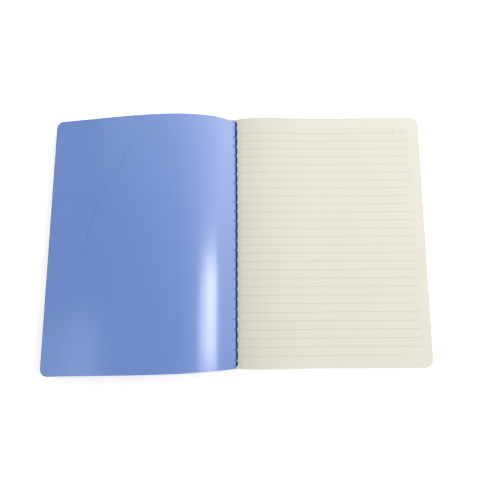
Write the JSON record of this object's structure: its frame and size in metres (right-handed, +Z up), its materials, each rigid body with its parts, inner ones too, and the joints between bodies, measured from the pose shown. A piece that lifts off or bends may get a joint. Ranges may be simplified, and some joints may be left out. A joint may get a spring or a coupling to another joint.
{
  "type": "sewn notebook",
  "caption": "Softcover ruled notebook lying open at its first page: sewn leaves that turn on a lockstitched seam beside a springy card cover that bends as it closes.",
  "frame": {"origin": "on the table under the middle of the seam, in the flat underside of the back cover", "axes": "+X from the seam to the fore edge of the leaves, +Y up the page, +Z up from the table"},
  "size_m": [0.3204, 0.216, 0.0248],
  "materials": {
    "cover_card": "gloss",
    "page_paper": "matte",
    "seam_thread": "matte",
    "binding_glue": "satin"
  },
  "bodies": {
    "book_block": {"back_cover": "cover_card", "binding_margin": "page_paper", "spine_glue": "binding_glue", "needle_thread": "seam_thread", "bobbin_thread": "seam_thread"},
    "front_cover_fold_body": {"front_cover_fold": "cover_card"},
    "front_cover_bend_body": {"front_cover_bend": "cover_card"},
    "front_cover_panel_body": {"front_cover_panel": "cover_card"},
    "leaf_01_body": {"leaf_01": "page_paper"},
    "leaf_02_body": {"leaf_02": "page_paper"},
    "leaf_03_body": {"leaf_03": "page_paper"},
    "leaf_04_body": {"leaf_04": "page_paper"},
    "leaf_05_body": {"leaf_05": "page_paper"},
    "leaf_06_body": {"leaf_06": "page_paper"},
    "leaf_07_body": {"leaf_07": "page_paper"},
    "leaf_08_body": {"leaf_08": "page_paper"},
    "leaf_09_body": {"leaf_09": "page_paper"},
    "leaf_10_body": {"leaf_10": "page_paper"},
    "leaf_11_body": {"leaf_11": "page_paper"},
    "leaf_12_body": {"leaf_12": "page_paper"},
    "leaf_13_body": {"leaf_13": "page_paper"},
    "leaf_14_body": {"leaf_14": "page_paper"},
    "leaf_15_body": {"leaf_15": "page_paper"},
    "leaf_16_body": {"leaf_16": "page_paper"},
    "leaf_17_body": {"leaf_17": "page_paper"},
    "leaf_18_body": {"leaf_18": "page_paper"},
    "leaf_19_body": {"leaf_19": "page_paper"},
    "leaf_20_body": {"leaf_20": "page_paper"},
    "leaf_21_body": {"leaf_21": "page_paper"},
    "leaf_22_body": {"leaf_22": "page_paper"},
    "leaf_23_body": {"leaf_23": "page_paper"},
    "leaf_24_body": {"leaf_24": "page_paper"},
    "leaf_25_body": {"leaf_25": "page_paper"},
    "leaf_26_body": {"leaf_26": "page_paper"},
    "leaf_27_body": {"leaf_27": "page_paper"},
    "leaf_28_body": {"leaf_28": "page_paper"},
    "leaf_29_body": {"leaf_29": "page_paper"},
    "leaf_30_body": {"leaf_30": "page_paper"},
    "leaf_31_body": {"leaf_31": "page_paper"},
    "leaf_32_body": {"leaf_32": "page_paper"},
    "leaf_33_body": {"leaf_33": "page_paper"},
    "leaf_34_body": {"leaf_34": "page_paper"},
    "leaf_35_body": {"leaf_35": "page_paper"},
    "leaf_36_body": {"leaf_36": "page_paper"},
    "leaf_37_body": {"leaf_37": "page_paper"},
    "leaf_38_body": {"leaf_38": "page_paper"},
    "leaf_39_body": {"leaf_39": "page_paper"},
    "leaf_40_body": {"leaf_40": "page_paper"}
  },
  "joints": [
    {"name": "front_cover_hinge", "type": "hinge", "parent": "book_block", "child": "front_cover_fold_body", "pos_m": [0, 0, 0.00605], "axis": [0, 1, 0], "range_deg": [0, 139]},
    {"name": "front_cover_bend_flex", "type": "hinge", "parent": "front_cover_fold_body", "child": "front_cover_bend_body", "pos_m": [-0.01421, 0, 0.01231], "axis": [0, 1, 0], "range_deg": [0, 14]},
    {"name": "front_cover_panel_flex", "type": "hinge", "parent": "front_cover_bend_body", "child": "front_cover_panel_body", "pos_m": [-0.04719, 0, 0.02335], "axis": [0, 1, 0], "range_deg": [0, 33]},
    {"name": "leaf_01_turn", "type": "hinge", "parent": "book_block", "child": "leaf_01_body", "pos_m": [0, 0, 0.00605], "axis": [0, -1, 0], "range_deg": [0, 140]},
    {"name": "leaf_02_turn", "type": "hinge", "parent": "book_block", "child": "leaf_02_body", "pos_m": [0, 0, 0.00605], "axis": [0, -1, 0], "range_deg": [0, 139.3]},
    {"name": "leaf_03_turn", "type": "hinge", "parent": "book_block", "child": "leaf_03_body", "pos_m": [0, 0, 0.00605], "axis": [0, -1, 0], "range_deg": [0, 138.5]},
    {"name": "leaf_04_turn", "type": "hinge", "parent": "book_block", "child": "leaf_04_body", "pos_m": [0, 0, 0.00605], "axis": [0, -1, 0], "range_deg": [0, 137.7]},
    {"name": "leaf_05_turn", "type": "hinge", "parent": "book_block", "child": "leaf_05_body", "pos_m": [0, 0, 0.00605], "axis": [0, -1, 0], "range_deg": [0, 136.9]},
    {"name": "leaf_06_turn", "type": "hinge", "parent": "book_block", "child": "leaf_06_body", "pos_m": [0, 0, 0.00605], "axis": [0, -1, 0], "range_deg": [0, 136.1]},
    {"name": "leaf_07_turn", "type": "hinge", "parent": "book_block", "child": "leaf_07_body", "pos_m": [0, 0, 0.00605], "axis": [0, -1, 0], "range_deg": [0, 135.3]},
    {"name": "leaf_08_turn", "type": "hinge", "parent": "book_block", "child": "leaf_08_body", "pos_m": [0, 0, 0.00605], "axis": [0, -1, 0], "range_deg": [0, 134.5]},
    {"name": "leaf_09_turn", "type": "hinge", "parent": "book_block", "child": "leaf_09_body", "pos_m": [0, 0, 0.00605], "axis": [0, -1, 0], "range_deg": [0, 133.7]},
    {"name": "leaf_10_turn", "type": "hinge", "parent": "book_block", "child": "leaf_10_body", "pos_m": [0, 0, 0.00605], "axis": [0, -1, 0], "range_deg": [0, 132.9]},
    {"name": "leaf_11_turn", "type": "hinge", "parent": "book_block", "child": "leaf_11_body", "pos_m": [0, 0, 0.00605], "axis": [0, -1, 0], "range_deg": [0, 132.2]},
    {"name": "leaf_12_turn", "type": "hinge", "parent": "book_block", "child": "leaf_12_body", "pos_m": [0, 0, 0.00605], "axis": [0, -1, 0], "range_deg": [0, 131.4]},
    {"name": "leaf_13_turn", "type": "hinge", "parent": "book_block", "child": "leaf_13_body", "pos_m": [0, 0, 0.00605], "axis": [0, -1, 0], "range_deg": [0, 130.6]},
    {"name": "leaf_14_turn", "type": "hinge", "parent": "book_block", "child": "leaf_14_body", "pos_m": [0, 0, 0.00605], "axis": [0, -1, 0], "range_deg": [0, 129.8]},
    {"name": "leaf_15_turn", "type": "hinge", "parent": "book_block", "child": "leaf_15_body", "pos_m": [0, 0, 0.00605], "axis": [0, -1, 0], "range_deg": [0, 129]},
    {"name": "leaf_16_turn", "type": "hinge", "parent": "book_block", "child": "leaf_16_body", "pos_m": [0, 0, 0.00605], "axis": [0, -1, 0], "range_deg": [0, 128.2]},
    {"name": "leaf_17_turn", "type": "hinge", "parent": "book_block", "child": "leaf_17_body", "pos_m": [0, 0, 0.00605], "axis": [0, -1, 0], "range_deg": [0, 127.4]},
    {"name": "leaf_18_turn", "type": "hinge", "parent": "book_block", "child": "leaf_18_body", "pos_m": [0, 0, 0.00605], "axis": [0, -1, 0], "range_deg": [0, 126.6]},
    {"name": "leaf_19_turn", "type": "hinge", "parent": "book_block", "child": "leaf_19_body", "pos_m": [0, 0, 0.00605], "axis": [0, -1, 0], "range_deg": [0, 125.8]},
    {"name": "leaf_20_turn", "type": "hinge", "parent": "book_block", "child": "leaf_20_body", "pos_m": [0, 0, 0.00605], "axis": [0, -1, 0], "range_deg": [0, 125.1]},
    {"name": "leaf_21_turn", "type": "hinge", "parent": "book_block", "child": "leaf_21_body", "pos_m": [0, 0, 0.00605], "axis": [0, -1, 0], "range_deg": [0, 124.3]},
    {"name": "leaf_22_turn", "type": "hinge", "parent": "book_block", "child": "leaf_22_body", "pos_m": [0, 0, 0.00605], "axis": [0, -1, 0], "range_deg": [0, 123.5]},
    {"name": "leaf_23_turn", "type": "hinge", "parent": "book_block", "child": "leaf_23_body", "pos_m": [0, 0, 0.00605], "axis": [0, -1, 0], "range_deg": [0, 122.7]},
    {"name": "leaf_24_turn", "type": "hinge", "parent": "book_block", "child": "leaf_24_body", "pos_m": [0, 0, 0.00605], "axis": [0, -1, 0], "range_deg": [0, 121.9]},
    {"name": "leaf_25_turn", "type": "hinge", "parent": "book_block", "child": "leaf_25_body", "pos_m": [0, 0, 0.00605], "axis": [0, -1, 0], "range_deg": [0, 121.1]},
    {"name": "leaf_26_turn", "type": "hinge", "parent": "book_block", "child": "leaf_26_body", "pos_m": [0, 0, 0.00605], "axis": [0, -1, 0], "range_deg": [0, 120.3]},
    {"name": "leaf_27_turn", "type": "hinge", "parent": "book_block", "child": "leaf_27_body", "pos_m": [0, 0, 0.00605], "axis": [0, -1, 0], "range_deg": [0, 119.5]},
    {"name": "leaf_28_turn", "type": "hinge", "parent": "book_block", "child": "leaf_28_body", "pos_m": [0, 0, 0.00605], "axis": [0, -1, 0], "range_deg": [0, 118.7]},
    {"name": "leaf_29_turn", "type": "hinge", "parent": "book_block", "child": "leaf_29_body", "pos_m": [0, 0, 0.00605], "axis": [0, -1, 0], "range_deg": [0, 118]},
    {"name": "leaf_30_turn", "type": "hinge", "parent": "book_block", "child": "leaf_30_body", "pos_m": [0, 0, 0.00605], "axis": [0, -1, 0], "range_deg": [0, 117.2]},
    {"name": "leaf_31_turn", "type": "hinge", "parent": "book_block", "child": "leaf_31_body", "pos_m": [0, 0, 0.00605], "axis": [0, -1, 0], "range_deg": [0, 116.4]},
    {"name": "leaf_32_turn", "type": "hinge", "parent": "book_block", "child": "leaf_32_body", "pos_m": [0, 0, 0.00605], "axis": [0, -1, 0], "range_deg": [0, 115.6]},
    {"name": "leaf_33_turn", "type": "hinge", "parent": "book_block", "child": "leaf_33_body", "pos_m": [0, 0, 0.00605], "axis": [0, -1, 0], "range_deg": [0, 114.8]},
    {"name": "leaf_34_turn", "type": "hinge", "parent": "book_block", "child": "leaf_34_body", "pos_m": [0, 0, 0.00605], "axis": [0, -1, 0], "range_deg": [0, 114]},
    {"name": "leaf_35_turn", "type": "hinge", "parent": "book_block", "child": "leaf_35_body", "pos_m": [0, 0, 0.00605], "axis": [0, -1, 0], "range_deg": [0, 113.2]},
    {"name": "leaf_36_turn", "type": "hinge", "parent": "book_block", "child": "leaf_36_body", "pos_m": [0, 0, 0.00605], "axis": [0, -1, 0], "range_deg": [0, 112.4]},
    {"name": "leaf_37_turn", "type": "hinge", "parent": "book_block", "child": "leaf_37_body", "pos_m": [0, 0, 0.00605], "axis": [0, -1, 0], "range_deg": [0, 111.6]},
    {"name": "leaf_38_turn", "type": "hinge", "parent": "book_block", "child": "leaf_38_body", "pos_m": [0, 0, 0.00605], "axis": [0, -1, 0], "range_deg": [0, 110.8]},
    {"name": "leaf_39_turn", "type": "hinge", "parent": "book_block", "child": "leaf_39_body", "pos_m": [0, 0, 0.00605], "axis": [0, -1, 0], "range_deg": [0, 110]},
    {"name": "leaf_40_turn", "type": "hinge", "parent": "book_block", "child": "leaf_40_body", "pos_m": [0, 0, 0.00605], "axis": [0, -1, 0], "range_deg": [0, 109.3]}
  ],
  "couplings": [
    {"joint": "front_cover_bend_flex", "follows": "front_cover_hinge", "ratio": 0.1},
    {"joint": "front_cover_panel_flex", "follows": "front_cover_hinge", "ratio": 0.2366},
    {"joint": "leaf_02_turn", "follows": "leaf_01_turn", "ratio": 0.9944},
    {"joint": "leaf_03_turn", "follows": "leaf_01_turn", "ratio": 0.9887},
    {"joint": "leaf_04_turn", "follows": "leaf_01_turn", "ratio": 0.9831},
    {"joint": "leaf_05_turn", "follows": "leaf_01_turn", "ratio": 0.9774},
    {"joint": "leaf_06_turn", "follows": "leaf_01_turn", "ratio": 0.9718},
    {"joint": "leaf_07_turn", "follows": "leaf_01_turn", "ratio": 0.9662},
    {"joint": "leaf_08_turn", "follows": "leaf_01_turn", "ratio": 0.9605},
    {"joint": "leaf_09_turn", "follows": "leaf_01_turn", "ratio": 0.9549},
    {"joint": "leaf_10_turn", "follows": "leaf_01_turn", "ratio": 0.9492},
    {"joint": "leaf_11_turn", "follows": "leaf_01_turn", "ratio": 0.9436},
    {"joint": "leaf_12_turn", "follows": "leaf_01_turn", "ratio": 0.9379},
    {"joint": "leaf_13_turn", "follows": "leaf_01_turn", "ratio": 0.9323},
    {"joint": "leaf_14_turn", "follows": "leaf_01_turn", "ratio": 0.9267},
    {"joint": "leaf_15_turn", "follows": "leaf_01_turn", "ratio": 0.921},
    {"joint": "leaf_16_turn", "follows": "leaf_01_turn", "ratio": 0.9154},
    {"joint": "leaf_17_turn", "follows": "leaf_01_turn", "ratio": 0.9097},
    {"joint": "leaf_18_turn", "follows": "leaf_01_turn", "ratio": 0.9041},
    {"joint": "leaf_19_turn", "follows": "leaf_01_turn", "ratio": 0.8985},
    {"joint": "leaf_20_turn", "follows": "leaf_01_turn", "ratio": 0.8928},
    {"joint": "leaf_21_turn", "follows": "leaf_01_turn", "ratio": 0.8872},
    {"joint": "leaf_22_turn", "follows": "leaf_01_turn", "ratio": 0.8815},
    {"joint": "leaf_23_turn", "follows": "leaf_01_turn", "ratio": 0.8759},
    {"joint": "leaf_24_turn", "follows": "leaf_01_turn", "ratio": 0.8703},
    {"joint": "leaf_25_turn", "follows": "leaf_01_turn", "ratio": 0.8646},
    {"joint": "leaf_26_turn", "follows": "leaf_01_turn", "ratio": 0.859},
    {"joint": "leaf_27_turn", "follows": "leaf_01_turn", "ratio": 0.8533},
    {"joint": "leaf_28_turn", "follows": "leaf_01_turn", "ratio": 0.8477},
    {"joint": "leaf_29_turn", "follows": "leaf_01_turn", "ratio": 0.8421},
    {"joint": "leaf_30_turn", "follows": "leaf_01_turn", "ratio": 0.8364},
    {"joint": "leaf_31_turn", "follows": "leaf_01_turn", "ratio": 0.8308},
    {"joint": "leaf_32_turn", "follows": "leaf_01_turn", "ratio": 0.8251},
    {"joint": "leaf_33_turn", "follows": "leaf_01_turn", "ratio": 0.8195},
    {"joint": "leaf_34_turn", "follows": "leaf_01_turn", "ratio": 0.8138},
    {"joint": "leaf_35_turn", "follows": "leaf_01_turn", "ratio": 0.8082},
    {"joint": "leaf_36_turn", "follows": "leaf_01_turn", "ratio": 0.8026},
    {"joint": "leaf_37_turn", "follows": "leaf_01_turn", "ratio": 0.7969},
    {"joint": "leaf_38_turn", "follows": "leaf_01_turn", "ratio": 0.7913},
    {"joint": "leaf_39_turn", "follows": "leaf_01_turn", "ratio": 0.7856},
    {"joint": "leaf_40_turn", "follows": "leaf_01_turn", "ratio": 0.78}
  ]
}
